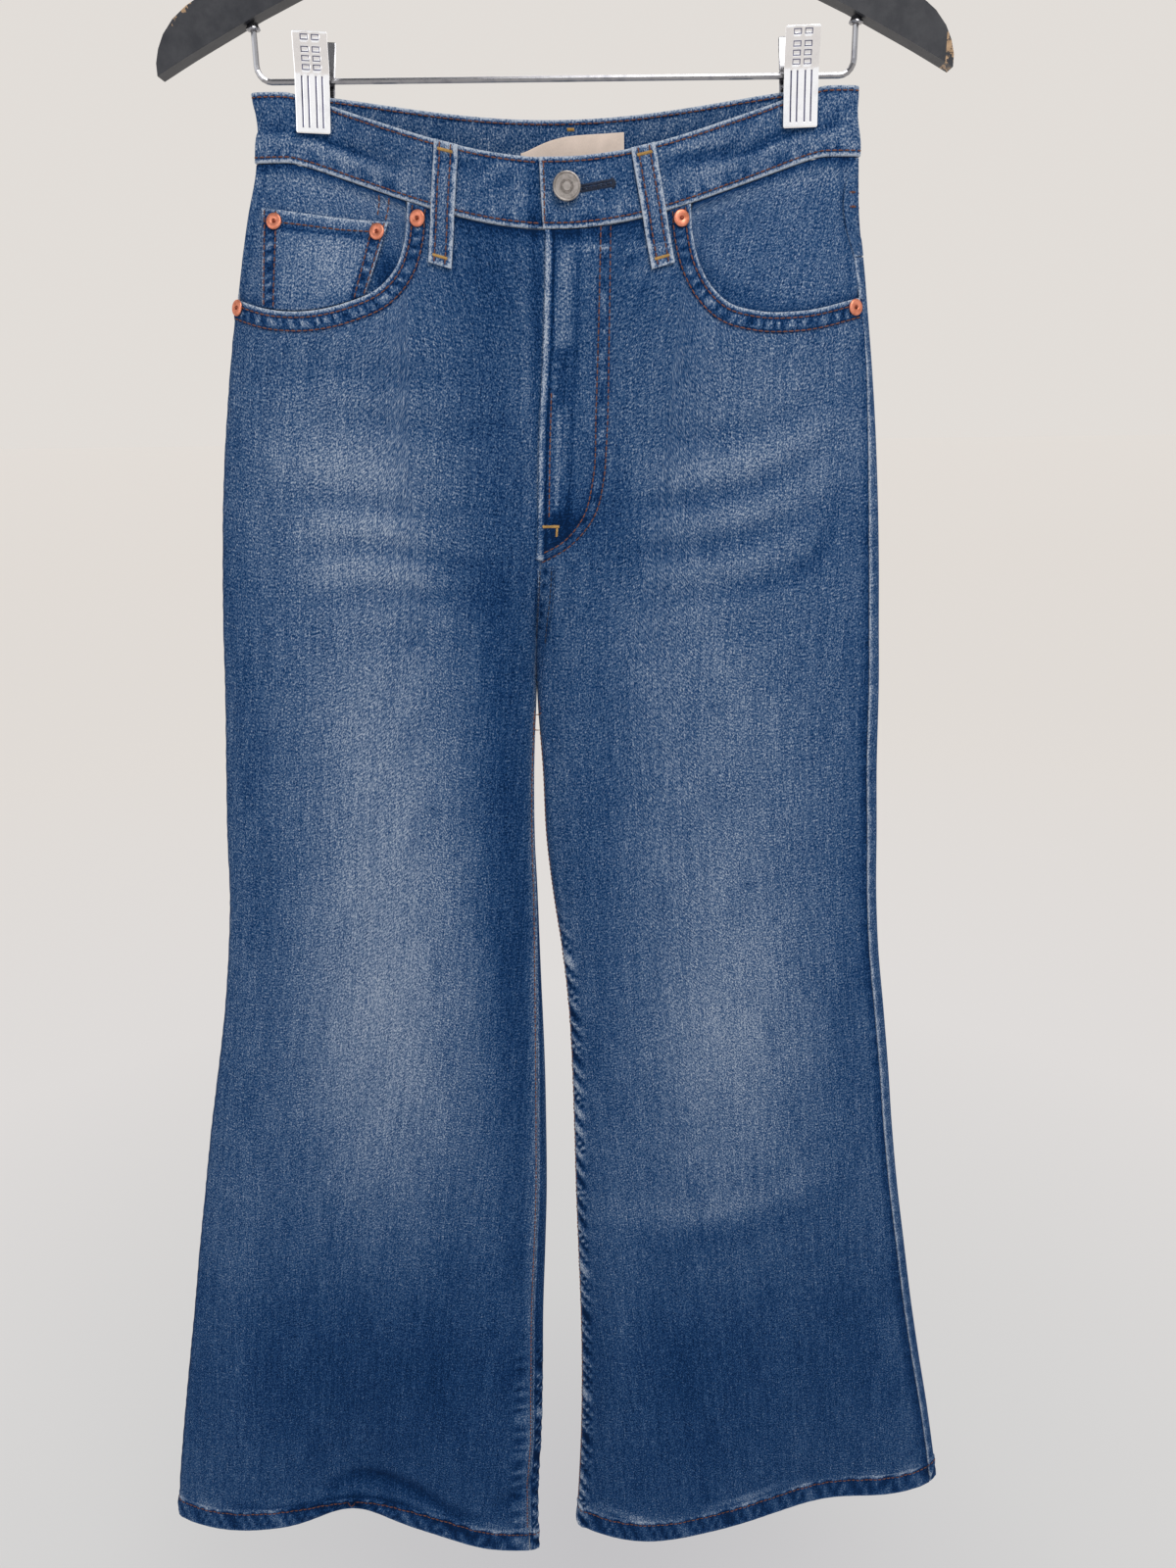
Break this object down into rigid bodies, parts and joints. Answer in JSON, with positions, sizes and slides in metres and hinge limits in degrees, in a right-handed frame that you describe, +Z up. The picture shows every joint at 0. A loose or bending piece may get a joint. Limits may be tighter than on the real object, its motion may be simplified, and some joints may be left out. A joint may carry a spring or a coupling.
{
  "type": "flared jeans on a clip hanger",
  "caption": "High-rise flared denim jeans, five-pocket cut with zip fly, hung by the waistband from a wooden hanger with a wire bar and two spring clips.",
  "frame": {"origin": "inner top of the hanger's hook, where a rail carries it", "axes": "+Z up, the front of the jeans faces -Y, +X is the wearer's left"},
  "size_m": [0.6218, 0.0652, 1.2635],
  "materials": {
    "denim": "mid-blue stretch denim, worn pale on the thighs, knees and all folded edges, with rust-brown topstitching",
    "label_cotton": "plain cream woven label",
    "button_metal": "dull grey metal with a ringed face",
    "rivet_copper": "copper",
    "hanger_lacquer": "satin black lacquer over wood, chipped at the tips",
    "chrome": "bright plated steel"
  },
  "bodies": {
    "root": {"front_right_hip": "denim", "front_right_thigh": "denim", "front_right_flare": "denim", "front_left_hip": "denim", "front_left_thigh": "denim", "front_left_flare": "denim", "back_right_hip": "denim", "back_right_thigh": "denim", "back_right_flare": "denim", "back_left_hip": "denim", "back_left_thigh": "denim", "back_left_flare": "denim", "yoke_right": "denim", "yoke_left": "denim", "back_pocket_right": "denim", "back_pocket_left": "denim", "pocket_facing_right": "denim", "pocket_facing_left": "denim", "pocket_band_right": "denim", "pocket_band_left": "denim", "coin_pocket": "denim", "waistband_back": "denim", "waistband_front_right": "denim", "waistband_front_left": "denim", "fly": "denim", "belt_loop_front_right": "denim", "belt_loop_front_left": "denim", "belt_loop_back_right": "denim", "belt_loop_back_left": "denim", "belt_loop_back_centre": "denim", "label": "label_cotton", "button": "button_metal", "rivet_coin_right": "rivet_copper", "rivet_coin_left": "rivet_copper", "rivet_pocket_right_top": "rivet_copper", "rivet_pocket_right_side": "rivet_copper", "rivet_pocket_left_top": "rivet_copper", "rivet_pocket_left_side": "rivet_copper", "hanger_body": "hanger_lacquer", "hook": "chrome", "bar": "chrome", "clip_right_jaw_front": "chrome", "clip_right_jaw_back": "chrome", "clip_right_spring": "chrome", "clip_left_jaw_front": "chrome", "clip_left_jaw_back": "chrome", "clip_left_spring": "chrome"}
  },
  "joints": []
}
